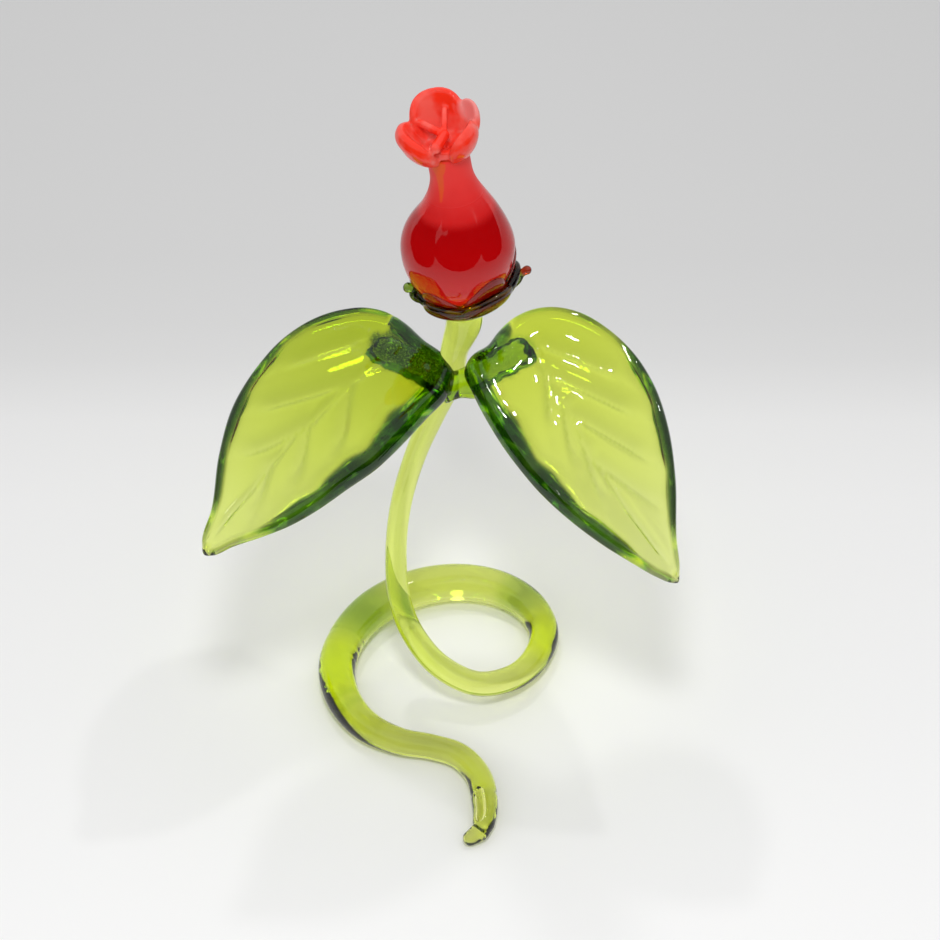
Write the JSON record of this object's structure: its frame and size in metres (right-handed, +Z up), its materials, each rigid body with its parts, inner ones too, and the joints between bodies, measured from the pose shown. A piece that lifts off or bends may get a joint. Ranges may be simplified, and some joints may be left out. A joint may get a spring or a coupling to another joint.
{
  "type": "lampworked glass rosebud ornament",
  "caption": "Clear green glass stem curled into a standing ring, with pressed leaves, a calyx and a red glass bud with a ruffled mouth.",
  "frame": {"origin": "middle of the plan box, at the level of the surface that the curled stem lies on", "axes": "+Z up, along the height of the flower; +X to the right and -Y towards the viewer, where the tail of the stem points"},
  "size_m": [0.0958, 0.082, 0.1425],
  "materials": {
    "stem_glass": "clear, fire polished",
    "knot_glass": "clear, fire polished",
    "leaf_glass": "clear, pressed and fire polished",
    "calyx_glass": "clear, fire polished",
    "bud_glass": "opal, fire polished",
    "petal_glass": "translucent, fire polished"
  },
  "bodies": {
    "root": {"stem": "stem_glass", "leaf_knot": "knot_glass", "leaf_left": "leaf_glass", "leaf_right": "leaf_glass", "calyx": "calyx_glass", "bud": "bud_glass", "petals": "petal_glass"}
  },
  "joints": []
}
